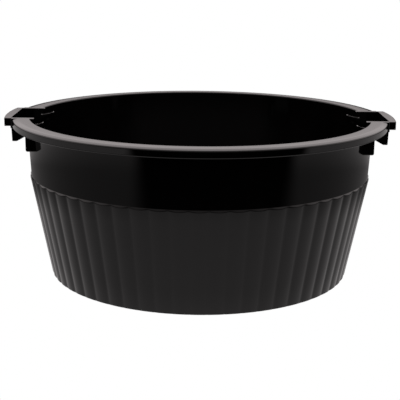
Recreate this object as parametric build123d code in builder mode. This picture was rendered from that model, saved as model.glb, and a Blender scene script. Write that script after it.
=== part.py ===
"""Hair color bowl: a one-piece moulded bowl with two hook-on ears, standing on a pressed-in rubber ring.

Frame: +Z up, +X through the two ears, origin at the centre of the underside, on the surface it stands on.
All sizes are millimetres. A "drop" is a distance below the flat top of the rim.
"""

from build123d import *
from math import cos, pi, radians, sin, tan
import os

# ---- driving dimensions -------------------------------------------------------------------------

HEIGHT = 58.0  # table to the flat top of the rim
RIM_RADIUS = 68.3  # outside of the round rim flange
MOUTH_RADIUS = 62.0  # edge of the opening, at the top
WALL = 1.5  # thickness of the reeded wall, behind the valleys

# Rim flange: a flat plate with a turned-down skirt.
FLANGE_THICKNESS = 1.2
SKIRT_DROP = 2.9
SKIRT_THICKNESS = 1.3
RIM_EDGE_ROUND = 0.5
RIM_SLOPE_WIDTH = 2.0  # the outermost part of the flange falls away by the slope drop
RIM_SLOPE_DROP = 0.3
MOUTH_EDGE_ROUND = 0.35

# Outer wall: a smooth upper band with little draft, then a reeded lower wall with more.
BAND_TOP_RADIUS = 63.2  # where the band would meet the top of the rim
BAND_DRAFT = 3.0  # degrees
REED_TOP = 37.6  # height at which the reeds begin
REED_COUNT = 60
REED_HEIGHT = 0.4  # crest above valley
REED_DRAFT = 11.0  # degrees
REED_TOP_RADIUS = 62.7  # crests, at the top of the reeds
REED_BEVEL = 0.8  # length over which the top of a reed runs back to the band
REED_LIP = 0.05  # what is left of a reed above the band, at its very top

# Base: floor, rounded outer corner, recessed middle and the groove for the rubber ring.
FOOT_GAP = 0.3  # the rubber ring holds the moulding this far off the table
BASE_CORNER = 0.8
BASE_CORNER_GAP = 0.15  # the rounded corner runs out this far outside the crests
FLOOR_TOP = 3.8
FLOOR_CORNER = 5.0
RECESS_RADIUS = 43.0
RECESS_DEPTH = 0.8
RING_INNER_RADIUS = 46.0
RING_OUTER_RADIUS = 50.0
RING_HEIGHT = 2.0

# Ears: a strip that bridges a rectangular slot, on the left and on the right.
EAR_RADIUS = 71.1
EAR_HALF_LENGTH = 12.6
SLOT_HALF_LENGTH = 11.2
SLOT_OUTER = 67.8
SLOT_INNER = 56.0  # the slot is open to the inside of the bowl
NOTCH_DROP = 7.5  # the wall between the ribs stops this far below the rim
LIP_THICKNESS = 0.6  # stiffening lip under the inner edge of each strip
LIP_DROP = 3.8
LIP_HALF_LENGTH = 12.0
LIP_TAPER = 3.0  # length over which the lip gets thin towards each end
LIP_TAPER_DEPTH = 0.45
LIP_TIE = 67.2  # the ends of the lip turn in this far, into the hook ribs

# Hook ribs: a plate at each end of a slot, hooked outside the wall and nosed inside it.
RIB_THICKNESS = 2.4
HOOK_OUTER = 67.5
HOOK_LEAN = 0.3  # the outer edge runs in by this much, down to the tip
HOOK_TIP_WIDTH = 1.6
HOOK_DROP = 8.2
HOOK_ROOT = 60.5
HOOK_ROOT_DROP = 5.4
BARB_TIP = 59.4  # where the flush top of a rib ends, inside the mouth
BARB_NOSE_DROP = 0.6
BARB_UNDERSIDE_DROP = 1.7
BARB_ROOT = 60.7
DIP = 58.0
DIP_DROP = 2.0
DIP_BACK_DROP = 2.6
NOSE_TIP = 56.0
NOSE_WIDTH = 1.4
NOSE_TOP_DROP = 1.3
NOSE_BACK_DROP = 1.8
NOSE_FOOT_DROP = 4.2
RIB_FOOT = 60.0
RIB_FOOT_DROP = 8.5
RIB_ROUND = 0.25

# Stacking lugs: four short plates under the rim that keep nested bowls from jamming.
LUG_FACE = 27.9  # distance of a lug's outer face from the ears' centre line
LUG_THICKNESS = 2.0
LUG_OUTER = 59.9
LUG_ROOT = 54.0
LUG_DROP = 9.2
LUG_ROUND = 0.6

# ---- sizes worked out from them -----------------------------------------------------------------

SKIRT_BOTTOM = HEIGHT - SKIRT_DROP
FLANGE_UNDERSIDE = HEIGHT - FLANGE_THICKNESS
REED_ANGLE = 2 * pi / REED_COUNT
RIB_MIDDLE = SLOT_HALF_LENGTH + RIB_THICKNESS / 2
LUG_MIDDLE = LUG_FACE - LUG_THICKNESS / 2


def band_radius(height):
    """Outer radius of the smooth band at a height above the table."""
    return BAND_TOP_RADIUS - (HEIGHT - height) * tan(radians(BAND_DRAFT))


def crest_radius(height):
    """Radius of the crests of the reeds at a height above the table."""
    return REED_TOP_RADIUS - (REED_TOP - height) * tan(radians(REED_DRAFT))


def inner_radius(height):
    """Radius of the inside of the reeded wall at a height above the table."""
    return crest_radius(height) - REED_HEIGHT - WALL


def reeded_outline(crest):
    """One closed ring of arcs that bulge outwards, with a crest on each centre line of the bowl."""
    valley = crest - REED_HEIGHT
    for reed in range(REED_COUNT):
        start = (reed - 0.5) * REED_ANGLE
        middle = reed * REED_ANGLE
        end = (reed + 0.5) * REED_ANGLE
        ThreePointArc(
            (valley * cos(start), valley * sin(start)),
            (crest * cos(middle), crest * sin(middle)),
            (valley * cos(end), valley * sin(end)),
        )


os.makedirs("parts", exist_ok=True)

# ---- moulded bowl -------------------------------------------------------------------------------

with BuildPart() as bowl_body:
    # Reeded lower wall, solid for now, between its outlines at the foot and at the top.
    for outline_height in (FOOT_GAP, REED_TOP):
        with BuildSketch(Plane.XY.offset(outline_height)):
            with BuildLine():
                reeded_outline(crest_radius(outline_height))
            make_face()
    loft(ruled=True)

    # Only what lies inside a turned envelope is kept: it rounds the foot and bevels the reeds' tops.
    bevel_foot = REED_TOP - REED_BEVEL
    with BuildSketch(Plane.XZ) as envelope:
        with BuildLine():
            Polyline(
                (0, FOOT_GAP),
                (crest_radius(FOOT_GAP) + BASE_CORNER_GAP, FOOT_GAP),
                (crest_radius(bevel_foot) + BASE_CORNER_GAP, bevel_foot),
                (band_radius(REED_TOP) + REED_LIP, REED_TOP),
                (0, REED_TOP),
                close=True,
            )
        make_face()
        foot_corner = envelope.vertices().group_by(Axis.Y)[0].sort_by(Axis.X)[-1]
        fillet(foot_corner, BASE_CORNER)
    revolve(axis=Axis.Z, mode=Mode.INTERSECT)

    # Smooth band, flange plate and turned-down skirt, as one turned outline.
    with BuildSketch(Plane.XZ) as upper:
        with BuildLine():
            Polyline(
                (0, REED_TOP),
                (band_radius(REED_TOP), REED_TOP),
                (band_radius(FLANGE_UNDERSIDE), FLANGE_UNDERSIDE),
                (RIM_RADIUS - SKIRT_THICKNESS, FLANGE_UNDERSIDE),
                (RIM_RADIUS - SKIRT_THICKNESS, SKIRT_BOTTOM),
                (RIM_RADIUS, SKIRT_BOTTOM),
                (RIM_RADIUS, HEIGHT - RIM_SLOPE_DROP),
                (RIM_RADIUS - RIM_SLOPE_WIDTH, HEIGHT),
                (0, HEIGHT),
                close=True,
            )
        make_face()
        rim_corner = upper.vertices().group_by(Axis.X)[-1].sort_by(Axis.Y)[-1]
        fillet(rim_corner, RIM_EDGE_ROUND)
    revolve(axis=Axis.Z)

    # Strips of the two ears: what a band along X keeps of one ring.
    with BuildSketch(Plane.XY.offset(SKIRT_BOTTOM)):
        Circle(EAR_RADIUS)
        Circle(RIM_RADIUS - SKIRT_THICKNESS, mode=Mode.SUBTRACT)
        Rectangle(3 * EAR_RADIUS, 2 * EAR_HALF_LENGTH, mode=Mode.INTERSECT)
    extrude(amount=SKIRT_DROP)

    # Stacking lugs, rooted in the wall, with rounded lower corners.
    for side in (-1, 1):
        for middle in (-LUG_MIDDLE, LUG_MIDDLE):
            with BuildSketch(Plane.XZ.offset(-middle)) as lug:
                with Locations((side * (LUG_ROOT + LUG_OUTER) / 2, HEIGHT - LUG_DROP)):
                    Rectangle(
                        LUG_OUTER - LUG_ROOT,
                        LUG_DROP - FLANGE_THICKNESS,
                        align=(Align.CENTER, Align.MIN),
                    )
                fillet(lug.vertices().group_by(Axis.Y)[0], LUG_ROUND)
            extrude(amount=LUG_THICKNESS / 2, both=True)

    # Inside of the bowl.
    with BuildSketch(Plane.XZ) as inside:
        with BuildLine():
            Polyline(
                (0, FLOOR_TOP),
                (inner_radius(FLOOR_TOP), FLOOR_TOP),
                (inner_radius(REED_TOP), REED_TOP),
                (MOUTH_RADIUS, HEIGHT),
                (0, HEIGHT),
                close=True,
            )
        make_face()
        floor_corner = inside.vertices().group_by(Axis.Y)[0].sort_by(Axis.X)[-1]
        fillet(floor_corner, FLOOR_CORNER)
    revolve(axis=Axis.Z, mode=Mode.SUBTRACT)
    top_circles = bowl_body.edges().filter_by(GeomType.CIRCLE).group_by(Axis.Z)[-1]
    fillet(top_circles.sort_by(SortBy.RADIUS)[0], MOUTH_EDGE_ROUND)

    # Slots through the ears, which also lower the wall between the ribs.
    with BuildSketch(Plane.XY.offset(HEIGHT - NOTCH_DROP)):
        with Locations(((SLOT_INNER + SLOT_OUTER) / 2, 0), (-(SLOT_INNER + SLOT_OUTER) / 2, 0)):
            Rectangle(SLOT_OUTER - SLOT_INNER, 2 * SLOT_HALF_LENGTH)
    extrude(amount=NOTCH_DROP, mode=Mode.SUBTRACT)

    # Stiffening lips under the inner edges of the strips.
    lip_outer = SLOT_OUTER + LIP_THICKNESS
    for side in (-1, 1):
        with BuildSketch(Plane.XY.offset(HEIGHT - LIP_DROP)):
            with BuildLine():
                Polyline(
                    (side * LIP_TIE, -LIP_HALF_LENGTH),
                    (side * (lip_outer - LIP_TAPER_DEPTH), -LIP_HALF_LENGTH),
                    (side * lip_outer, LIP_TAPER - LIP_HALF_LENGTH),
                    (side * lip_outer, LIP_HALF_LENGTH - LIP_TAPER),
                    (side * (lip_outer - LIP_TAPER_DEPTH), LIP_HALF_LENGTH),
                    (side * LIP_TIE, LIP_HALF_LENGTH),
                    (side * LIP_TIE, SLOT_HALF_LENGTH),
                    (side * SLOT_OUTER, SLOT_HALF_LENGTH),
                    (side * SLOT_OUTER, -SLOT_HALF_LENGTH),
                    (side * LIP_TIE, -SLOT_HALF_LENGTH),
                    close=True,
                )
            make_face()
        extrude(amount=LIP_DROP - RIM_EDGE_ROUND)

    # Hook ribs at both ends of both slots.
    for side in (-1, 1):
        for middle in (-RIB_MIDDLE, RIB_MIDDLE):
            with BuildSketch(Plane.XZ.offset(-middle)) as rib:
                with BuildLine():
                    Polyline(
                        (side * BARB_TIP, HEIGHT),
                        (side * HOOK_OUTER, HEIGHT),
                        (side * (HOOK_OUTER - HOOK_LEAN), HEIGHT - HOOK_DROP),
                        (side * (HOOK_OUTER - HOOK_LEAN - HOOK_TIP_WIDTH), HEIGHT - HOOK_DROP),
                        (side * HOOK_ROOT, HEIGHT - HOOK_ROOT_DROP),
                        (side * RIB_FOOT, HEIGHT - RIB_FOOT_DROP),
                        (side * NOSE_TIP, HEIGHT - NOSE_FOOT_DROP),
                        (side * NOSE_TIP, HEIGHT - NOSE_TOP_DROP),
                        (side * (NOSE_TIP + NOSE_WIDTH), HEIGHT - NOSE_BACK_DROP),
                        (side * DIP, HEIGHT - DIP_DROP),
                        (side * BARB_ROOT, HEIGHT - DIP_BACK_DROP),
                        (side * BARB_ROOT, HEIGHT - BARB_UNDERSIDE_DROP),
                        (side * BARB_TIP, HEIGHT - BARB_NOSE_DROP),
                        close=True,
                    )
                make_face()
                fillet(rib.vertices(), RIB_ROUND)
            extrude(amount=RIB_THICKNESS / 2, both=True)

    # Underside: recessed middle and the groove that the rubber ring is pressed into.
    with BuildSketch(Plane.XY.offset(FOOT_GAP)):
        Circle(RECESS_RADIUS)
    extrude(amount=RECESS_DEPTH, mode=Mode.SUBTRACT)
    with BuildSketch(Plane.XY.offset(FOOT_GAP)):
        Circle(RING_OUTER_RADIUS)
        Circle(RING_INNER_RADIUS, mode=Mode.SUBTRACT)
    extrude(amount=RING_HEIGHT - FOOT_GAP, mode=Mode.SUBTRACT)

bowl_body.part.label = "bowl_body"
export_step(bowl_body.part, "parts/bowl_body.step")

# ---- rubber ring under the foot -----------------------------------------------------------------

with BuildPart() as non_slip_ring:
    with BuildSketch():
        Circle(RING_OUTER_RADIUS)
        Circle(RING_INNER_RADIUS, mode=Mode.SUBTRACT)
    extrude(amount=RING_HEIGHT)

non_slip_ring.part.label = "non_slip_ring"
export_step(non_slip_ring.part, "parts/non_slip_ring.step")
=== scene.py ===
"""A black moulded hair color bowl on its rubber foot ring, and the studio that it stands in.

The frame is that of the CAD model: metres, +X through the two ears, +Z up, the table at z = 0. Sizes are
written in millimetres and become metres where a mesh, a material or the camera is made.
A "drop" is a distance below the flat top of the rim.
"""

import logging
import math
from dataclasses import dataclass
from enum import Enum

import bmesh
import bpy
import numpy as np
from mathutils import Euler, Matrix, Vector


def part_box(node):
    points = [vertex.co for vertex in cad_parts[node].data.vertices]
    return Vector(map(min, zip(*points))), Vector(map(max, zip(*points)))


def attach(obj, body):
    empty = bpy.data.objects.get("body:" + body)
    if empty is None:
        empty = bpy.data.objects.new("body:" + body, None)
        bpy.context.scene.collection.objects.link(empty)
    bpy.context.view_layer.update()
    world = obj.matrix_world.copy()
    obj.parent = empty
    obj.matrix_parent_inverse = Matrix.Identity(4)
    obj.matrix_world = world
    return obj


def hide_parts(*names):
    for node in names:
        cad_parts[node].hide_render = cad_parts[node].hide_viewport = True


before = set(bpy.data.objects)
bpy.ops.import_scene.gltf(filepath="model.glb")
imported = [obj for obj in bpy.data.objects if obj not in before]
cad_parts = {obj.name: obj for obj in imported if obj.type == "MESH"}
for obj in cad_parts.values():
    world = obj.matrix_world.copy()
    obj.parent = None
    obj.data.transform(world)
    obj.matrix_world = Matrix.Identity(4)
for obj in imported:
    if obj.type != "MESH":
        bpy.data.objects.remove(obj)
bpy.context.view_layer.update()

LOG = logging.getLogger("hair_color_bowl")
MM = 0.001  # metres in a millimetre
BODY = "root"  # nothing moves, so the part is one body
CREASE = math.radians(30)  # faces that meet more sharply than this keep a hard edge between them
FLAT_FACE_WEIGHT = 60  # how far large faces outweigh small ones in the shading, 50 being not at all
APART = 1e-6  # mm; points closer together than this are one point
LEVEL = 0.001  # mm; heights closer together than this are one height


# ---- surfaces worked out as arrays --------------------------------------------------------------


def unit(vectors: np.ndarray) -> np.ndarray:
    """Vectors at length one, along the last axis; a vector of no length stays as it is."""
    length = np.linalg.norm(vectors, axis=-1, keepdims=True)
    return vectors / np.where(length > 0, length, 1)


def without_repeats(rows: np.ndarray) -> np.ndarray:
    """Rows (u, v, ...) of a closed outline, without those at the same place as the row before."""
    place = rows[:, :2]
    return rows[np.linalg.norm(place - np.roll(place, 1, axis=0), axis=1) > APART]


def arc(radius: float, start: float, end: float, points: int = 41) -> np.ndarray:
    """Points (x, y) on an arc about the axis, from one angle in radians to another."""
    angle = np.linspace(start, end, points)
    return radius * np.stack([np.cos(angle), np.sin(angle)], axis=1)


def round_corners(corners: np.ndarray, steps: int = 5) -> np.ndarray:
    """Turns the corners of an outline into arcs.

    At a corner whose sides meet at the angle q, an arc of radius r touches both sides at r / tan(q / 2)
    from the corner, and its centre is r / sin(q / 2) from the corner, on the line that halves q.

    Args:
        corners: Rows of (u, v, radius). A radius of 0 leaves the corner sharp.
        steps: Straight pieces in each arc.

    Returns:
        Rows of (u, v) along the outline, each point once.
    """
    point, radius = corners[:, :2], corners[:, 2]
    back = unit(np.roll(point, 1, axis=0) - point)
    ahead = unit(np.roll(point, -1, axis=0) - point)
    half = np.arccos(np.clip((back * ahead).sum(1), -1, 1)) / 2
    half = np.where(radius > 0, half, math.pi / 4)
    centre = point + unit(back + ahead) * (radius / np.sin(half))[:, None]
    arm = point + back * (radius / np.tan(half))[:, None] - centre
    side = np.sign(back[:, 1] * ahead[:, 0] - back[:, 0] * ahead[:, 1])
    turn = (side * (math.pi - 2 * half))[:, None] * np.linspace(0, 1, steps + 1)
    cos, sin = np.cos(turn), np.sin(turn)
    arc_u = centre[:, :1] + arm[:, :1] * cos - arm[:, 1:] * sin
    arc_v = centre[:, 1:] + arm[:, :1] * sin + arm[:, 1:] * cos
    return without_repeats(np.stack([arc_u.ravel(), arc_v.ravel()], axis=1))


def ring_quads(rows: int, columns: int, wrap_rows: bool) -> np.ndarray:
    """Quads of a grid of rows that close on themselves.

    Args:
        rows: Number of rows.
        columns: Vertices in a row; the last one joins the first one.
        wrap_rows: Whether the last row joins the first row too, as on a torus.

    Returns:
        Rows of four vertex numbers, counter-clockwise where rows run up and columns run round.
    """
    row = np.arange(rows if wrap_rows else rows - 1)[:, None]
    above = (row + 1) % rows
    column = np.arange(columns)[None, :]
    beside = (column + 1) % columns
    low, high = row * columns, above * columns
    corners = [low + column, low + beside, high + beside, high + column]
    return np.stack([corner.ravel() for corner in corners], axis=1)


def new_object(name: str, vertices: np.ndarray, faces: list[list[int]]) -> bpy.types.Object:
    """Makes a mesh object, in metres, from vertices in millimetres.

    Args:
        name: The object's name.
        vertices: Rows of (x, y, z) in millimetres.
        faces: Lists of vertex numbers.

    Returns:
        The object, linked to the scene, with its place in its mesh.
    """
    mesh = bpy.data.meshes.new(name)
    mesh.from_pydata(vertices * MM, [], faces)
    mesh.update()
    thing = bpy.data.objects.new(name, mesh)
    bpy.context.scene.collection.objects.link(thing)
    return thing


def turned_solid(
    name: str, radius: np.ndarray, height: np.ndarray, ends_on_axis: bool
) -> bpy.types.Object:
    """Makes a closed solid from a section carried round the vertical axis.

    A point is (r cos a, r sin a, z), where r may change with the angle a as well as along the section.

    Args:
        name: The object's name.
        radius: Radii in millimetres, a row for each point of the section and a column for each angle.
        height: Heights in millimetres, one for each point of the section.
        ends_on_axis: The section starts and ends on the axis, so that each end closes in a pole.
            Otherwise it is a closed loop.

    Returns:
        The object, with its faces pointing outwards.
    """
    rows, columns = radius.shape
    angle = np.arange(columns) * 2 * math.pi / columns
    z = np.broadcast_to(height[:, None], radius.shape)
    grid = np.stack([radius * np.cos(angle), radius * np.sin(angle), z], axis=2).reshape(-1, 3)
    faces = ring_quads(rows, columns, not ends_on_axis).tolist()
    if ends_on_axis:
        first, last = len(grid), len(grid) + 1
        grid = np.vstack([grid, [[0, 0, height[0]], [0, 0, height[-1]]]])
        here = np.arange(columns)
        beside = (here + 1) % columns
        top = (rows - 1) * columns
        faces += np.stack([np.full(columns, first), beside, here], axis=1).tolist()
        faces += np.stack([np.full(columns, last), top + here, top + beside], axis=1).tolist()
    return new_object(name, grid, faces)


class Lie(Enum):
    """How the outline of a slab lies in the frame: where its u, its v and its thickness go."""

    FLAT = (0, 1, 2)
    UPRIGHT = (0, 2, 1)


def slab(name: str, outline: np.ndarray, levels: np.ndarray, lie: Lie) -> bpy.types.Object:
    """Makes a closed solid from an outline repeated at several levels.

    At each level the outline is drawn in along its own normals by that level's inset, so insets that grow
    as a quarter circle towards both faces round the slab's edges.

    Args:
        name: The object's name.
        outline: Rows of (u, v) in millimetres, round a closed loop.
        levels: Rows of (place along the thickness, inset) in millimetres.
        lie: Which axes the outline and the thickness run along.

    Returns:
        The object, with its faces pointing outwards.
    """
    along = unit(np.roll(outline, -1, axis=0) - np.roll(outline, 1, axis=0))
    u, v = outline.T
    area = (u * np.roll(v, -1) - v * np.roll(u, -1)).sum()
    inwards = np.stack([-along[:, 1], along[:, 0]], axis=1) * np.sign(area)
    loops = outline[None] + inwards[None] * levels[:, 1, None, None]
    grid = np.zeros((len(levels), len(outline), 3))
    u_axis, v_axis, thickness_axis = lie.value
    grid[..., u_axis], grid[..., v_axis] = loops[..., 0], loops[..., 1]
    grid[..., thickness_axis] = levels[:, :1]
    count = len(outline)
    faces = ring_quads(len(levels), count, False).tolist()
    last = (len(levels) - 1) * count
    faces += [list(range(count))[::-1], list(range(last, last + count))]
    thing = new_object(name, grid.reshape(-1, 3), faces)
    point_outwards(thing)
    return thing


def rounded_levels(
    low: float, high: float, low_round: float, high_round: float, steps: int = 4
) -> np.ndarray:
    """Levels for a slab whose two faces meet its sides in quarter circles.

    At the angle t of a quarter circle of radius r, the level is r (1 - sin t) from the face and the
    outline is drawn in by r (1 - cos t). A face with a radius of 0 keeps a sharp edge.

    Args:
        low: The lower face.
        high: The upper face.
        low_round: Radius of the edge round the lower face.
        high_round: Radius of the edge round the upper face.
        steps: Straight pieces in each quarter circle.

    Returns:
        Rows of (level, inset), from the lower face to the upper one, each once.
    """
    t = np.linspace(0, math.pi / 2, steps + 1)
    back = t[::-1]
    rise = np.stack([low + low_round * (1 - np.sin(back)), low_round * (1 - np.cos(back))], axis=1)
    close = np.stack([high - high_round * (1 - np.sin(t)), high_round * (1 - np.cos(t))], axis=1)
    rows = np.vstack([rise, close])
    new = np.append(True, (np.diff(rows, axis=0) != 0).any(axis=1))
    return rows[new]


def point_outwards(thing: bpy.types.Object) -> None:
    """Turns the faces of a closed solid outwards.

    Args:
        thing: The solid.
    """
    work = bmesh.new()
    work.from_mesh(thing.data)
    bmesh.ops.recalc_face_normals(work, faces=work.faces)
    work.to_mesh(thing.data)
    work.free()


def settle(thing: bpy.types.Object) -> None:
    """Makes what an object's modifiers give its own mesh, and leaves it with no modifier.

    Args:
        thing: The object.
    """
    evaluated = thing.evaluated_get(bpy.context.evaluated_depsgraph_get())
    before = thing.data
    thing.data = bpy.data.meshes.new_from_object(evaluated)
    thing.modifiers.clear()
    bpy.data.meshes.remove(before)


class Step(Enum):
    """What is done with other solids: they are joined to a solid, or cut out of it."""

    JOIN = "UNION"
    CUT = "DIFFERENCE"


def combine(base: bpy.types.Object, step: Step, others: list[bpy.types.Object]) -> None:
    """Joins solids to a base or cuts them out of it, so that one closed skin is left.

    Args:
        base: The solid that is changed.
        step: Whether the others are joined or cut out.
        others: The other solids, which are used up.
    """
    group = bpy.data.collections.new("others")
    for other in others:
        group.objects.link(other)
    modifier = base.modifiers.new("combine", "BOOLEAN")
    modifier.operation = step.value
    modifier.solver = "MANIFOLD"
    modifier.operand_type = "COLLECTION"
    modifier.collection = group
    settle(base)
    for other in others:
        bpy.data.meshes.remove(other.data)
    bpy.data.collections.remove(group)


def smooth(thing: bpy.types.Object) -> None:
    """Shades an object smoothly between its creases, with large faces kept flat up to rounded edges.

    Args:
        thing: The object.
    """
    thing.data.shade_smooth()
    thing.data.set_sharp_from_angle(angle=CREASE)
    modifier = thing.modifiers.new("flat faces stay flat", "WEIGHTED_NORMAL")
    modifier.keep_sharp = True
    modifier.weight = FLAT_FACE_WEIGHT
    settle(thing)


# ---- finishes -----------------------------------------------------------------------------------


def linear(colour: str) -> tuple[float, float, float, float]:
    """Turns an sRGB colour to linear light.

    Args:
        colour: The colour as hex digits, such as "#0a0a0b".

    Returns:
        Red, green and blue from 0 to 1, and full alpha.
    """
    channels = [int(colour[i : i + 2], 16) / 255 for i in (1, 3, 5)]
    red, green, blue = (c / 12.92 if c <= 0.04045 else ((c + 0.055) / 1.055) ** 2.4 for c in channels)
    return (red, green, blue, 1.0)


def add_node(
    owner: bpy.types.Material | bpy.types.World, kind: str, links: dict | None = None, **settings: object
) -> bpy.types.Node:
    """Adds a node to a material or to the world.

    Args:
        owner: The material or the world, which uses nodes.
        kind: The node's type, such as "ShaderNodeTexNoise".
        links: For each input, by name or number, the output socket that feeds it.
        settings: Properties of the node or, with underscores for spaces, values of its inputs.

    Returns:
        The node.
    """
    tree = owner.node_tree
    node = tree.nodes.new(kind)
    for key, value in settings.items():
        if hasattr(node, key):
            setattr(node, key, value)
        else:
            node.inputs[key.replace("_", " ")].default_value = value
    for key, source in (links or {}).items():
        tree.links.new(source, node.inputs[key])
    return node


def noise(
    owner: bpy.types.Material, place: bpy.types.NodeSocket, size: float, **settings: object
) -> bpy.types.NodeSocket:
    """Adds noise with one swell in about each size, in millimetres, and gives its output."""
    node = add_node(owner, "ShaderNodeTexNoise", {"Vector": place}, Scale=1 / (size * MM), **settings)
    return node.outputs["Fac"]


def map_range(
    owner: bpy.types.Material | bpy.types.World,
    value: bpy.types.NodeSocket,
    source: tuple[float, float],
    target: tuple[float, float],
    interpolation: str = "LINEAR",
) -> bpy.types.NodeSocket:
    """Adds a node that carries one range to another.

    Args:
        owner: The material or the world that the node joins.
        value: The output that is carried over.
        source: The range of the value. Beyond it, the result stays at the ends of the target.
        target: What the two ends of the source become.
        interpolation: "LINEAR", or "SMOOTHSTEP" for a smooth step.

    Returns:
        The output that holds the result.
    """
    node = add_node(
        owner,
        "ShaderNodeMapRange",
        {"Value": value},
        interpolation_type=interpolation,
        From_Min=source[0],
        From_Max=source[1],
        To_Min=target[0],
        To_Max=target[1],
    )
    return node.outputs["Result"]


def finish_material(
    made: bpy.types.Material,
    colour: bpy.types.NodeSocket,
    roughness: bpy.types.NodeSocket,
    normal: bpy.types.NodeSocket,
    ior: float,
) -> None:
    """Closes a material with a Principled BSDF.

    Args:
        made: The material.
        colour: The output that holds its base colour.
        roughness: The output that holds its roughness.
        normal: The output that holds its normals.
        ior: Its index of refraction.
    """
    links = {"Base Color": colour, "Roughness": roughness, "Normal": normal}
    shader = add_node(made, "ShaderNodeBsdfPrincipled", links, IOR=ior)
    add_node(made, "ShaderNodeOutputMaterial", {"Surface": shader.outputs["BSDF"]})


def empty_material(name: str) -> bpy.types.Material:
    """Makes a material that uses nodes and has none yet.

    Args:
        name: The material's name.

    Returns:
        The material.
    """
    material = bpy.data.materials.new(name)
    material.use_nodes = True
    material.node_tree.nodes.clear()
    return material


@dataclass(frozen=True)
class MouldedPolypropylene:
    """Glossy black polypropylene, injection moulded in a polished tool.

    It gives the eye a deep black with almost no body colour, a clear reflection that grows pale at a
    grazing angle, the faint waviness that shrinkage leaves in every moulded wall, soft streaks that the melt
    leaves as it runs out from the gate at the middle of the base, and a light haze from handling.
    """

    name: str = "black_polypropylene_moulded"
    black: str = "#040404"
    worn_black: str = "#080707"
    ior: float = 1.49
    roughness: tuple[float, float] = (0.06, 0.12)  # where the haze is least and most
    haze_range: tuple[float, float] = (0.2, 0.62)  # haze that gives the two ends of the roughness
    haze_base: float = 0.12  # haze that is there even between the streaks
    shrink_wave: float = 14.0  # mm between swells of the surface
    shrink_height: float = 0.004  # mm
    skin_grain: float = 0.9  # mm between grains of the moulded skin
    skin_height: float = 0.0005  # mm
    haze_patch: float = 22.0  # mm across a patch of handling haze
    streaks_round: float = 36.0  # melt streaks round the bowl
    streak_length: float = 30.0  # mm of rise over which a streak changes

    def material(self) -> bpy.types.Material:
        """Builds the material.

        Returns:
            The material, with every pattern on Object coordinates.
        """
        made = empty_material(self.name)
        place = add_node(made, "ShaderNodeTexCoord").outputs["Object"]
        haze = noise(made, place, self.haze_patch, Detail=3.0, Roughness=0.6)
        mix = add_node(
            made, "ShaderNodeMath", {0: haze, 1: self.streaks(made, place)}, operation="MULTIPLY_ADD"
        )
        mix.inputs[2].default_value = self.haze_base
        roughness = map_range(made, mix.outputs[0], self.haze_range, self.roughness)
        colour = add_node(made, "ShaderNodeMix", {"Factor": haze}, data_type="RGBA")
        colour.inputs[6].default_value = linear(self.black)
        colour.inputs[7].default_value = linear(self.worn_black)
        wave = noise(made, place, self.shrink_wave, Detail=1.0)
        swell = add_node(
            made, "ShaderNodeBump", {"Height": wave}, Strength=1.0, Distance=self.shrink_height * MM
        )
        grain = noise(made, place, self.skin_grain, Detail=2.0)
        skin = add_node(
            made,
            "ShaderNodeBump",
            {"Height": grain, "Normal": swell.outputs["Normal"]},
            Strength=1.0,
            Distance=self.skin_height * MM,
        )
        finish_material(made, colour.outputs[2], roughness, skin.outputs["Normal"], self.ior)
        return made

    def streaks(self, made: bpy.types.Material, place: bpy.types.NodeSocket) -> bpy.types.NodeSocket:
        """Melt streaks: noise over the angle round the bowl, slowly changing with height.

        Args:
            made: The material that the nodes join.
            place: The Object coordinates.

        Returns:
            The output that holds the streaks, from 0 to 1.
        """
        x, y, z = add_node(made, "ShaderNodeSeparateXYZ", {0: place}).outputs
        flat = add_node(made, "ShaderNodeCombineXYZ", {"X": x, "Y": y})
        round_it = add_node(made, "ShaderNodeVectorMath", {0: flat.outputs[0]}, operation="NORMALIZE")
        spread = add_node(made, "ShaderNodeVectorMath", {0: round_it.outputs[0]}, operation="SCALE")
        spread.inputs["Scale"].default_value = self.streaks_round / (2 * math.pi)
        rise = add_node(made, "ShaderNodeMath", {0: z}, operation="MULTIPLY")
        rise.inputs[1].default_value = 1 / (self.streak_length * MM)
        lift = add_node(made, "ShaderNodeCombineXYZ", {"Z": rise.outputs[0]})
        parts = {0: spread.outputs[0], 1: lift.outputs[0]}
        both = add_node(made, "ShaderNodeVectorMath", parts, operation="ADD")
        lines = add_node(made, "ShaderNodeTexNoise", {"Vector": both.outputs[0]}, Scale=1.0, Detail=2.0)
        return lines.outputs["Fac"]


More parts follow.
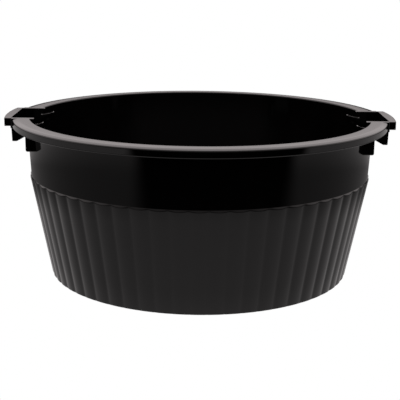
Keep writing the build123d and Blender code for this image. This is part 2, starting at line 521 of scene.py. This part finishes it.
@dataclass(frozen=True)
class MouldedRubber:
    """Matte black thermoplastic rubber, moulded in a spark-eroded tool.

    It gives the eye a soft dark grey sheen with no clear reflection, a fine even grain, and paler
    scuffs where the foot has rubbed on the worktop.
    """

    name: str = "black_rubber_matte"
    black: str = "#0d0d0d"
    scuffed: str = "#1c1b1a"
    ior: float = 1.52
    roughness: tuple[float, float] = (0.62, 0.85)  # where it is rubbed least and most
    rub_range: tuple[float, float] = (0.3, 0.7)  # noise that gives the two ends of the roughness
    grain: float = 0.35  # mm between grains
    grain_height: float = 0.012  # mm
    scuff_patch: float = 6.0  # mm across a scuff
    scuff_range: tuple[float, float] = (0.5, 0.78)  # noise at which a scuff begins and is palest

    def material(self) -> bpy.types.Material:
        """Builds the material.

        Returns:
            The material, with every pattern on Object coordinates.
        """
        made = empty_material(self.name)
        place = add_node(made, "ShaderNodeTexCoord").outputs["Object"]
        scuffs = noise(made, place, self.scuff_patch, Detail=5.0, Roughness=0.65)
        colour = add_node(made, "ShaderNodeValToRGB", {"Fac": scuffs})
        stops = zip(colour.color_ramp.elements, self.scuff_range, (self.black, self.scuffed))
        for stop, position, shade in stops:
            stop.position = position
            stop.color = linear(shade)
        roughness = map_range(made, scuffs, self.rub_range, self.roughness)
        grain = add_node(made, "ShaderNodeTexVoronoi", {"Vector": place}, Scale=1 / (self.grain * MM))
        bump = add_node(
            made,
            "ShaderNodeBump",
            {"Height": grain.outputs["Distance"]},
            Strength=0.6,
            Distance=self.grain_height * MM,
        )
        finish_material(made, colour.outputs["Color"], roughness, bump.outputs["Normal"], self.ior)
        return made


@dataclass(frozen=True)
class Edge:
    """A straight edge of a shade, through a point in millimetres, at a right angle to the way out."""

    point: tuple[float, float]
    way_out: tuple[float, float]  # of length one

    def distance(self) -> float:
        """How far along the way out the edge lies, in millimetres from the middle of the studio."""
        return self.point[0] * self.way_out[0] + self.point[1] * self.way_out[1]


@dataclass(frozen=True)
class Shade:
    """A painted shade on the paper: a dark wedge with soft edges, as from somebody who stands in front of
    it.

    It starts at a distance from the middle and lies between straight edges. Sizes are in millimetres.
    """

    start: float
    edges: tuple[Edge, ...]
    softness: float

    def light(self, made: bpy.types.Material, place: bpy.types.NodeSocket) -> bpy.types.NodeSocket:
        """The light that is left: 0 in the shade, 1 outside it.

        The way out over each edge runs through a smooth step, and the largest of the steps counts.

        Args:
            made: The material that the nodes join.
            place: The Object coordinates.

        Returns:
            The output that holds the light.
        """
        away = add_node(made, "ShaderNodeVectorMath", {0: place}, operation="LENGTH")
        light = map_range(made, away.outputs["Value"], self.span(self.start), (1.0, 0.0), "SMOOTHSTEP")
        for edge in self.edges:
            way = add_node(made, "ShaderNodeVectorMath", {0: place}, operation="DOT_PRODUCT")
            way.inputs[1].default_value = (*edge.way_out, 0.0)
            span = self.span(edge.distance())
            step = map_range(made, way.outputs["Value"], span, (0.0, 1.0), "SMOOTHSTEP")
            light = add_node(made, "ShaderNodeMath", {0: light, 1: step}, operation="MAXIMUM").outputs[0]
        return light

    def span(self, middle: float) -> tuple[float, float]:
        """The two ends in metres of a soft edge, from its middle in millimetres."""
        return (middle - self.softness / 2) * MM, (middle + self.softness / 2) * MM


@dataclass(frozen=True)
class GlowingCard:
    """Glowing paper of the studio, which gives the same light towards every side.

    Its painted brightness may change with the distance from the middle of the studio, as a painted shadow
    where a bowl keeps the light off the paper that it stands on, and part of it may lie in a painted shade.
    """

    name: str
    colour: str
    rings: tuple[tuple[float, float], ...]  # (distance from the middle in mm, painted brightness), outwards
    shade: Shade | None = None

    def material(self) -> bpy.types.Material:
        """Builds the material.

        Returns:
            The material: an emission whose strength runs straight from each ring to the next.
        """
        made = empty_material(self.name)
        glow = add_node(made, "ShaderNodeEmission", Color=linear(self.colour))
        if len(self.rings) == 1:
            glow.inputs["Strength"].default_value = self.rings[0][1]
        else:
            place = add_node(made, "ShaderNodeTexCoord").outputs["Object"]
            away = add_node(made, "ShaderNodeVectorMath", {0: place}, operation="LENGTH")
            share = add_node(made, "ShaderNodeMath", {0: away.outputs["Value"]}, operation="DIVIDE")
            share.inputs[1].default_value = self.rings[-1][0] * MM
            ramp = add_node(made, "ShaderNodeValToRGB", {"Fac": share.outputs[0]})
            stops = ramp.color_ramp.elements
            while len(stops) < len(self.rings):
                stops.new(1.0)
            for stop, (distance, brightness) in zip(stops, self.rings):
                stop.position = distance / self.rings[-1][0]
                stop.color = (brightness, brightness, brightness, 1.0)
            light = ramp.outputs["Color"]
            # the painted shade darkens the painted brightness of the rings
            if self.shade:
                both = {0: light, 1: self.shade.light(made, place)}
                light = add_node(made, "ShaderNodeMath", both, operation="MULTIPLY").outputs[0]
            made.node_tree.links.new(light, glow.inputs["Strength"])
        add_node(made, "ShaderNodeOutputMaterial", {"Surface": glow.outputs[0]})
        return made


# ---- the moulded bowl ---------------------------------------------------------------------------


@dataclass
class Moulding:
    """The bowl itself, one moulding: reeded wall, smooth band, rim, two ears, four hook ribs, four lugs.

    All sizes are in millimetres; those that the frame knows are read from it.
    """

    height: float
    rim_radius: float
    ear_radius: float
    foot_gap: float
    finish: MouldedPolypropylene = MouldedPolypropylene()
    columns: int = 720  # twelve faces across each reed

    mouth_radius: float = 62.0
    flange_thickness: float = 1.2
    skirt_drop: float = 2.9
    skirt_thickness: float = 1.3
    rim_edge_round: float = 0.5
    rim_slope_width: float = 2.0
    rim_slope_drop: float = 0.3
    rim_slope_round: float = 9.0
    skirt_edge_round: float = 0.5
    mouth_edge_round: float = 0.5

    band_top_radius: float = 63.2
    band_draft: float = 3.0  # degrees
    reed_top: float = 37.6
    reed_count: int = 60
    reed_height: float = 0.4
    reed_draft: float = 11.0  # degrees
    reed_top_radius: float = 62.7
    reed_bevel: float = 0.8
    bevel_steps: int = 12
    reed_lip: float = 0.05
    reed_edge_round: float = 0.04
    wall: float = 1.5

    base_corner: float = 0.8
    base_corner_gap: float = 0.15
    floor_top: float = 3.8
    floor_corner: float = 5.0
    recess_radius: float = 43.0
    recess_depth: float = 0.8
    ring_inner_radius: float = 46.0
    ring_outer_radius: float = 50.0
    ring_height: float = 2.0
    recess_slope: float = 0.1  # how much wider the recess is at the table than at its ceiling
    recess_round: float = 0.25
    gate_radius: float = 2.2
    gate_depth: float = 0.4
    gate_slope: float = 0.2
    detail_round: float = 0.15  # edges of the gate mark and of the ring's groove
    root_round: float = 0.3  # corners between wall, flange and skirt

    ear_half_length: float = 12.6
    ear_edge_round: float = 0.25
    slot_half_length: float = 11.2
    slot_outer: float = 67.8
    slot_inner: float = 56.0
    notch_drop: float = 7.5
    cutter_rise: float = 2.0  # how far the slots' cutters stand out above the rim
    lip_thickness: float = 0.6
    lip_drop: float = 3.8
    lip_half_length: float = 12.0
    lip_taper: float = 3.0
    lip_taper_depth: float = 0.45
    lip_taper_round: float = 4.0
    lip_tie: float = 67.2
    lip_round: float = 0.1
    lip_edge_round: float = 0.08

    rib_thickness: float = 2.4
    rib_round: float = 0.25
    rib_edge_round: float = 0.2
    hook_outer: float = 67.5
    hook_lean: float = 0.3
    hook_tip_width: float = 1.6
    hook_drop: float = 8.2
    hook_root: float = 60.5
    hook_root_drop: float = 5.4
    barb_tip: float = 59.4
    barb_nose_drop: float = 0.6
    barb_underside_drop: float = 1.7
    barb_root: float = 60.7
    dip: float = 58.0
    dip_drop: float = 2.0
    dip_back_drop: float = 2.6
    nose_tip: float = 56.0
    nose_width: float = 1.4
    nose_top_drop: float = 1.3
    nose_back_drop: float = 1.8
    nose_foot_drop: float = 4.2
    rib_foot: float = 60.0
    rib_foot_drop: float = 8.5

    lug_face: float = 27.9
    lug_thickness: float = 2.0
    lug_outer: float = 59.9
    lug_width: float = 4.0  # from its outer edge to its root, before the root is bent
    lug_drop: float = 9.2
    lug_round: float = 0.6
    lug_root_round: float = 0.2
    lug_edge_round: float = 0.3

    hair: float = 0.01  # kept between two skins that would otherwise coincide

    def band_radius(self, height: float | np.ndarray) -> float | np.ndarray:
        """Outer radius of the smooth band at a height, or at each of several."""
        return self.band_top_radius - (self.height - height) * math.tan(math.radians(self.band_draft))

    def crest_radius(self, height: np.ndarray) -> np.ndarray:
        """Radius of the crests of the reeds at each height."""
        return self.reed_top_radius - (self.reed_top - height) * math.tan(math.radians(self.reed_draft))

    def inner_radius(self, height: float) -> float:
        """Radius of the inside of the reeded wall at a height."""
        return float(self.crest_radius(height)) - self.reed_height - self.wall

    def upper_inner_radius(self, height: np.ndarray) -> np.ndarray:
        """Radius of the inside of the band at each height, on a straight line up to the mouth."""
        start, rise = self.inner_radius(self.reed_top), height - self.reed_top
        return start + rise * (self.mouth_radius - start) / (self.height - self.reed_top)

    def reed_radius(self, height: np.ndarray, angle: np.ndarray) -> np.ndarray:
        """Radius of the reeded wall: arcs that bulge outwards, with valleys between them.

        A reed spans the angle 2 q at the axis. Its arc passes through the crest radius c in the middle and
        the valley radius v at both ends, so with the half chord a = v sin q and the rise s = c - v cos q its
        own radius is (a^2 + s^2) / 2 s. A line at the angle f from the crest meets that arc, whose centre
        is m from the axis, at m cos f + sqrt(rho^2 - m^2 sin^2 f).

        Args:
            height: Heights, as a column.
            angle: Angles round the bowl, as a row.

        Returns:
            A radius for each height and angle.
        """
        half = math.pi / self.reed_count
        crest = self.crest_radius(height)
        valley = crest - self.reed_height
        chord = valley * math.sin(half)
        rise = crest - valley * math.cos(half)
        rho = (chord**2 + rise**2) / (2 * rise)
        middle = crest - rho
        off = (angle + half) % (2 * half) - half
        return middle * np.cos(off) + np.sqrt(rho**2 - (middle * np.sin(off)) ** 2)

    def section(self) -> tuple[np.ndarray, np.ndarray]:
        """Half of the bowl's section: from under its middle out, up, over the rim and down inside.

        Returns:
            Rows of (radius, height) on the envelope of the reeds, and for each row whether the reeds are
            cut into it.
        """
        foot, top = self.foot_gap, self.height
        recess, small = foot + self.recess_depth, self.detail_round
        bevel_foot = self.reed_top - self.reed_bevel
        flange_underside, skirt_bottom = top - self.flange_thickness, top - self.skirt_drop
        skirt_inside = self.rim_radius - self.skirt_thickness
        underside = np.array([
            (0.0, recess + self.gate_depth, 0),
            (self.gate_radius, recess + self.gate_depth, small),
            (self.gate_radius + self.gate_slope, recess, small),
            (self.recess_radius, recess, self.recess_round),
            (self.recess_radius + self.recess_slope, foot, self.recess_round),
            (self.ring_inner_radius, foot, small),
            (self.ring_inner_radius, self.ring_height, small),
            (self.ring_outer_radius, self.ring_height, small),
            (self.ring_outer_radius, foot, small),
            (float(self.crest_radius(foot)) + self.base_corner_gap, foot, self.base_corner),
            (float(self.crest_radius(bevel_foot)) + self.base_corner_gap, bevel_foot, 0),
            (self.band_radius(self.reed_top) + self.reed_lip, self.reed_top, 0),
        ])
        rest = np.array([
            (0.0, self.reed_top, 0),
            (self.band_radius(self.reed_top), self.reed_top, 0),
            (self.band_radius(flange_underside), flange_underside, self.root_round),
            (skirt_inside, flange_underside, self.root_round),
            (skirt_inside, skirt_bottom, self.skirt_edge_round),
            (self.rim_radius, skirt_bottom, self.skirt_edge_round),
            (self.rim_radius, top - self.rim_slope_drop, self.rim_edge_round),
            (self.rim_radius - self.rim_slope_width, top, self.rim_slope_round),
            (self.mouth_radius, top, self.mouth_edge_round),
            (self.inner_radius(self.reed_top), self.reed_top, 0),
            (self.inner_radius(self.floor_top), self.floor_top, self.floor_corner),
            (0.0, self.floor_top, 0),
        ])
        below, above = self.with_bevel_rows(round_corners(underside)), round_corners(rest)[1:]
        on_reeds = (below[:, 1] > foot + LEVEL) & (below[:, 0] > self.ring_outer_radius + small)
        return np.vstack([below, above]), np.concatenate([on_reeds, np.zeros(len(above), bool)])

    def with_bevel_rows(self, below: np.ndarray) -> np.ndarray:
        """Adds rows along the bevel at the top of the reeds, where the crests run out in a curve.

        Args:
            below: Rows of (radius, height), of which the last two are the ends of the bevel.

        Returns:
            The rows, with the way between those two in steps.
        """
        share = np.linspace(0, 1, self.bevel_steps + 1)[1:, None]
        foot, top = below[-2], below[-1]
        return np.vstack([below[:-1], foot + (top - foot) * share])

    def shell(self) -> bpy.types.Object:
        """The turned and reeded shell, before ears, slots, ribs and lugs.

        The reeds are cut into the envelope by a smooth minimum, (a + b - sqrt((a - b)^2 + k^2)) / 2, which
        rounds the edge between them by about k.

        Returns:
            The shell as a closed solid.
        """
        rows, on_reeds = self.section()
        angle = np.arange(self.columns) * 2 * math.pi / self.columns
        envelope = np.broadcast_to(rows[:, :1], (len(rows), self.columns))
        reeds = self.reed_radius(rows[:, 1:], angle[None])
        edge = 2 * self.reed_edge_round
        cut = (envelope + reeds - np.sqrt((envelope - reeds) ** 2 + edge**2)) / 2
        radius = np.where(on_reeds[:, None], cut, envelope)
        return turned_solid("bowl_moulding", radius[1:-1], rows[1:-1, 1], True)

    def ear(self, side: int) -> bpy.types.Object:
        """The strip of one ear: a stretch of a ring, flush with the rim's top and the skirt's lower edge.

        Its outer face is the arc of the ear radius and its ends are flat. Its inner face is left inside
        the skirt, and the slot trims it later.

        Args:
            side: 1 for the right ear and -1 for the left one.

        Returns:
            The strip as a closed solid.
        """
        root = self.rim_radius - self.skirt_thickness / 2
        turn = math.asin(self.ear_half_length / self.ear_radius)
        outer = arc(self.ear_radius, -turn, turn)
        turn = math.asin(self.ear_half_length / root)
        inner = arc(root, turn, -turn)
        share = 1 - np.array([[1.0], [0.9], [0.7], [0.5], [0.3], [0.1]])  # of the way along a flat end
        outline = np.vstack([
            inner[-1] + (outer[0] - inner[-1]) * share,
            outer,
            outer[-1] + (inner[0] - outer[-1]) * share,
            inner,
        ])
        outline = without_repeats(outline) * (side, 1)
        levels = rounded_levels(
            self.height - self.skirt_drop, self.height, self.ear_edge_round, self.ear_edge_round
        )
        return slab("ear", outline, levels, Lie.FLAT)

    def slot_cutter(self, side: int) -> bpy.types.Object:
        """What one slot takes away: flange and skirt inside the ear, and the wall down to the notch.

        It ends halfway through the hook ribs, which then close the slot's ends.

        Args:
            side: 1 for the right slot and -1 for the left one.

        Returns:
            The cutter as a closed solid, standing out above the rim.
        """
        end = self.slot_half_length + self.rib_thickness / 2
        inside_rib = self.hook_outer - self.hook_lean
        outline = np.array([
            (self.slot_inner, -end),
            (inside_rib, -end),
            (inside_rib, -self.slot_half_length),
            (self.slot_outer, -self.slot_half_length),
            (self.slot_outer, self.slot_half_length),
            (inside_rib, self.slot_half_length),
            (inside_rib, end),
            (self.slot_inner, end),
        ])
        levels = np.array([(self.height - self.notch_drop, 0.0), (self.height + self.cutter_rise, 0.0)])
        return slab("slot_cutter", outline * (side, 1), levels, Lie.FLAT)

    def lip(self, side: int) -> bpy.types.Object:
        """The stiffening lip under the inner edge of one strip, flush with the outer side of the slot.

        Args:
            side: 1 at the right ear and -1 at the left one.

        Returns:
            The lip as a closed solid, rooted in the strip.
        """
        tie, near = self.lip_tie, self.slot_outer
        far = near + self.lip_thickness
        thin, wide = self.lip_half_length, self.lip_half_length - self.lip_taper
        half = np.array([
            (near, 0.0, 0.0),
            (near, -self.slot_half_length, self.lip_round),
            (tie, -self.slot_half_length, self.lip_round),
            (tie, -thin, self.lip_round),
            (far - self.lip_taper_depth, -thin, self.lip_round),
            (far, -wide, self.lip_taper_round),
            (far, 0.0, 0.0),
        ])
        corners = without_repeats(np.vstack([half, half[::-1] * (1, -1, 1)]))
        levels = rounded_levels(
            self.height - self.lip_drop, self.height - self.flange_thickness, self.lip_edge_round, 0.0
        )
        return slab("lip", round_corners(corners) * (side, 1), levels, Lie.FLAT)

    def hook_rib(self, side: int, end: int) -> bpy.types.Object:
        """One hook rib: an upright plate at a slot's end, hooked outside the wall and nosed inside it.

        Args:
            side: 1 at the right ear and -1 at the left one.
            end: 1 at the back end of the slot and -1 at the front end.

        Returns:
            The rib as a closed solid.
        """
        hook_tip = self.hook_outer - self.hook_lean
        radius_and_drop = np.array([
            (self.barb_tip, self.hair),
            (self.hook_outer, self.hair),
            (hook_tip, self.hook_drop),
            (hook_tip - self.hook_tip_width, self.hook_drop),
            (self.hook_root, self.hook_root_drop),
            (self.rib_foot, self.rib_foot_drop),
            (self.nose_tip, self.nose_foot_drop),
            (self.nose_tip, self.nose_top_drop),
            (self.nose_tip + self.nose_width, self.nose_back_drop),
            (self.dip, self.dip_drop),
            (self.barb_root, self.dip_back_drop),
            (self.barb_root, self.barb_underside_drop),
            (self.barb_tip, self.barb_nose_drop),
        ])
        radius, drop = radius_and_drop.T
        corners = np.column_stack([radius, self.height - drop, np.full(len(drop), self.rib_round)])
        outline = round_corners(corners) * (side, 1)
        middle = end * (self.slot_half_length + self.rib_thickness / 2)
        half = self.rib_thickness / 2
        levels = rounded_levels(middle - half, middle + half, self.rib_edge_round, self.rib_edge_round)
        return slab("hook_rib", outline, levels, Lie.UPRIGHT)

    def stacking_lug(self, side: int, end: int) -> bpy.types.Object:
        """One stacking lug: a short upright plate under the flange that keeps nested bowls from jamming.

        Its root is bent to follow the middle of the wall, at the share of its width that is left.

        Args:
            side: 1 at the right ear and -1 at the left one.
            end: 1 behind the ear and -1 in front of it.

        Returns:
            The lug as a closed solid.
        """
        root = self.lug_outer - self.lug_width
        top, bottom = self.height - self.flange_thickness / 2, self.height - self.lug_drop
        corners = np.array([
            (root, top, 0),
            (root, bottom, self.lug_root_round),
            (self.lug_outer, bottom, self.lug_round),
            (self.lug_outer, top, 0),
        ])
        outer_face = end * self.lug_face
        inner_face = end * (self.lug_face - self.lug_thickness)
        low, high = min(outer_face, inner_face), max(outer_face, inner_face)
        levels = rounded_levels(low, high, self.lug_edge_round, self.lug_edge_round)
        thing = slab("stacking_lug", round_corners(corners), levels, Lie.UPRIGHT)
        place = np.empty(len(thing.data.vertices) * 3)
        thing.data.vertices.foreach_get("co", place)
        place = place.reshape(-1, 3) / MM
        share = (place[:, 0] - root) / (self.lug_outer - root)
        wall_radius = (self.band_radius(place[:, 2]) + self.upper_inner_radius(place[:, 2])) / 2
        wall_middle = np.sqrt(wall_radius**2 - place[:, 1] ** 2)
        place[:, 0] = side * (wall_middle + (self.lug_outer - wall_middle) * share)
        thing.data.vertices.foreach_set("co", (place * MM).ravel())
        point_outwards(thing)
        return thing

    def build(self) -> bpy.types.Object:
        """Makes the moulding as one closed skin and dresses it.

        Returns:
            The finished piece.
        """
        sides, ends = (-1, 1), (-1, 1)
        bowl = self.shell()
        combine(bowl, Step.JOIN, [self.ear(side) for side in sides])
        combine(bowl, Step.CUT, [self.slot_cutter(side) for side in sides])
        ribs = [self.hook_rib(side, end) for side in sides for end in ends]
        lugs = [self.stacking_lug(side, end) for side in sides for end in ends]
        lips = [self.lip(side) for side in sides]
        combine(bowl, Step.JOIN, ribs + lugs + lips)
        smooth(bowl)
        bowl.data.materials.clear()
        bowl.data.materials.append(self.finish.material())
        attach(bowl, BODY)
        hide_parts("bowl_body")
        return bowl


# ---- the rubber ring ----------------------------------------------------------------------------


@dataclass
class NonSlipRing:
    """The rubber ring that is pressed into the groove under the bowl and stands on the table.

    All sizes are in millimetres.
    """

    inner_radius: float
    outer_radius: float
    height: float
    finish: MouldedRubber = MouldedRubber()
    columns: int = 240
    edge_round: float = 0.45
    groove_width: float = 0.5
    groove_depth: float = 0.35
    groove_count: int = 2
    groove_round: float = 0.1

    def section(self) -> np.ndarray:
        """The ring's section: a rectangle with rounded corners and small grip grooves in its underside.

        Returns:
            Rows of (radius, height) round the section, counter-clockwise.
        """
        corners = [(self.inner_radius, 0.0, self.edge_round)]
        step = (self.outer_radius - self.inner_radius) / (self.groove_count + 1)
        for number in range(self.groove_count):
            middle = self.inner_radius + step * (number + 1)
            corners += [
                (middle - self.groove_width / 2, 0.0, self.groove_round),
                (middle - self.groove_width / 4, self.groove_depth, self.groove_round),
                (middle + self.groove_width / 4, self.groove_depth, self.groove_round),
                (middle + self.groove_width / 2, 0.0, self.groove_round),
            ]
        corners += [
            (self.outer_radius, 0.0, self.edge_round),
            (self.outer_radius, self.height, self.edge_round),
            (self.inner_radius, self.height, self.edge_round),
        ]
        return round_corners(np.array(corners), steps=4)

    def build(self) -> bpy.types.Object:
        """Makes the ring and dresses it.

        Returns:
            The finished piece.
        """
        rows = self.section()
        radius = np.repeat(rows[:, :1], self.columns, axis=1)
        ring = turned_solid("rubber_foot_ring", radius, rows[:, 1], False)
        smooth(ring)
        ring.data.materials.append(self.finish.material())
        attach(ring, BODY)
        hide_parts("non_slip_ring")
        return ring


# ---- the studio ---------------------------------------------------------------------------------


class Seen(Enum):
    """By which rays a card of the studio is seen: (camera, reflections and bounced light)."""

    BY_CAMERA = (True, False)
    IN_REFLECTIONS = (False, True)


@dataclass
class Studio:
    """A white cove with a pale sheet of paper under the bowl, seen from the front and a little above.

    Lengths are in millimetres. The camera sees an even white cove. The bowl is lit by the white upper part
    of the room and mirrors the glowing paper around it, with a painted shade in front, where the camera
    stands.
    """

    cove_size: float = 6000.0
    dome_rows: int = 32
    dome_columns: int = 64
    floor_drop: float = 0.05  # below the table
    paper_drop: float = 0.3  # below the table
    cove_white: GlowingCard = GlowingCard("white_cove", "#ffffff", ((0.0, 1.0),))
    paper: GlowingCard = GlowingCard(
        "pale_paper",
        "#fffafa",
        # painted brightness by distance: darker under the bowl, brightest just outside its foot, a dark ring
        # from 135 to 210 mm, and fading far out
        (
            (50.0, 0.3),
            (56.0, 0.5),
            (66.0, 0.42),
            (105.0, 0.4),
            (135.0, 0.14),
            (210.0, 0.14),
            (280.0, 0.4),
            (480.0, 0.4),
            (900.0, 0.03),
        ),
        # a painted shade in front of the bowl, on the camera's side
        Shade(
            start=140.0,
            edges=(Edge((-90.6, -142.0), (-0.761, 0.651)), Edge((120.0, -105.0), (0.415, 0.91))),
            softness=44.0,
        ),
    )

    room: str = "#fff6f6"
    low_light: float = 0.05  # brightness of the room near the horizon
    sines: tuple[float, float] = (0.06, 0.23)  # of the elevations between which it rises to white
    front_light: float = 0.25  # share of the light that comes from the camera's side of the room
    depths: tuple[float, float] = (-0.6, 0.2)  # shares towards the back, between which it rises

    aside: float = 0.24  # how far the camera stands to the right of the bowl's axis
    aim_height: float = 25.4
    distance: float = 358.8
    elevation: float = 14.12  # degrees above the horizon
    roll: float = 0.6  # degrees
    lens: float = 85.4
    sensor: float = 36.0

    def card(
        self, name: str, outline: np.ndarray, height: float, finish: GlowingCard, seen: Seen
    ) -> None:
        """Lays one flat card of the studio.

        Args:
            name: The card's name.
            outline: Rows of (x, y) in millimetres.
            height: Its height in millimetres.
            finish: What it is made of.
            seen: By which rays it is seen.
        """
        corners = np.column_stack([outline, np.full(len(outline), height)])
        self.show(new_object(name, corners, [list(range(len(outline)))]), finish, seen)

    def show(self, thing: bpy.types.Object, finish: GlowingCard, seen: Seen) -> None:
        """Dresses a piece of the studio.

        Args:
            thing: The piece.
            finish: What it is made of.
            seen: By which rays it is seen.
        """
        thing.data.materials.append(finish.material())
        camera, light = seen.value
        thing.visible_camera = camera
        thing.visible_diffuse = light
        thing.visible_glossy = light
        thing.visible_transmission = light
        thing.visible_shadow = False

    def lay_floor(self) -> None:
        """Lays the white floor that the camera sees and the glowing paper, with painted light and shade,
        that the bowl mirrors.
        """
        wide = self.cove_size
        square = np.array([(-1, -1), (1, -1), (1, 1), (-1, 1)]) * wide
        self.card("white_floor", square, -self.floor_drop, self.cove_white, Seen.BY_CAMERA)
        self.card("pale_paper", square, -self.paper_drop, self.paper, Seen.IN_REFLECTIONS)

    def raise_dome(self) -> None:
        """Closes the cove above the floor with a white dome that only the camera sees."""
        rise = np.linspace(0, math.pi, self.dome_rows + 2)[1:-1]
        radius = np.repeat(self.cove_size * np.sin(rise)[:, None], self.dome_columns, axis=1)
        dome = turned_solid("white_dome", radius, -self.cove_size * np.cos(rise), True)
        self.show(dome, self.cove_white, Seen.BY_CAMERA)

    def light_room(self) -> None:
        """Fills the room with soft light that fades towards the horizon and towards the camera's side.

        The brightness is the product of two smooth steps, one over the sine of the elevation and one over
        the share of the direction that points to the back.
        """
        world = bpy.data.worlds.new("white_room")
        world.use_nodes = True
        place = add_node(world, "ShaderNodeTexCoord").outputs["Generated"]
        parts = add_node(world, "ShaderNodeSeparateXYZ", {0: place}).outputs
        rise = map_range(world, parts["Z"], self.sines, (self.low_light, 1.0), "SMOOTHSTEP")
        depth = map_range(world, parts["Y"], self.depths, (self.front_light, 1.0), "SMOOTHSTEP")
        both = add_node(world, "ShaderNodeMath", {0: rise, 1: depth}, operation="MULTIPLY")
        background = world.node_tree.nodes["Background"]
        background.inputs["Color"].default_value = linear(self.room)
        world.node_tree.links.new(both.outputs[0], background.inputs["Strength"])
        bpy.context.scene.world = world

    def place_camera(self) -> None:
        """Places the camera in front, above the horizon, on a line through the bowl's axis."""
        data = bpy.data.cameras.new("camera")
        data.lens = self.lens
        data.sensor_width = self.sensor
        data.clip_start = 0.01
        data.clip_end = 20.0
        camera = bpy.data.objects.new("camera", data)
        up = math.radians(self.elevation)
        aim = Vector((self.aside, 0.0, self.aim_height)) * MM
        camera.location = aim + Vector((0.0, -math.cos(up), math.sin(up))) * self.distance * MM
        turned = Euler((math.pi / 2 - up, 0.0, 0.0)).to_matrix()
        rolled = Euler((0.0, 0.0, math.radians(self.roll))).to_matrix()
        camera.rotation_euler = (turned @ rolled).to_euler()
        bpy.context.scene.collection.objects.link(camera)
        bpy.context.scene.camera = camera

    def build(self) -> None:
        """Sets up floor, light, camera and an untinted view."""
        self.lay_floor()
        self.raise_dome()
        self.light_room()
        self.place_camera()
        bpy.context.scene.view_settings.view_transform = "Standard"


def main() -> None:
    """Builds the bowl, its ring and the studio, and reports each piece."""
    logging.basicConfig(level=logging.INFO, format="%(name)s: %(message)s")
    body_low, body_high = (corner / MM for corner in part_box("bowl_body"))
    ring_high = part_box("non_slip_ring")[1] / MM
    moulding = Moulding(
        height=body_high.z, rim_radius=body_high.y, ear_radius=body_high.x, foot_gap=body_low.z
    )
    ring = NonSlipRing(
        inner_radius=moulding.ring_inner_radius, outer_radius=ring_high.x, height=ring_high.z
    )
    for piece in (moulding.build(), ring.build()):
        size = ", ".join(f"{length / MM:.1f}" for length in piece.dimensions)
        LOG.info("%s: %d faces, %s mm", piece.name, len(piece.data.polygons), size)
    Studio().build()


if __name__ == "__main__":
    main()
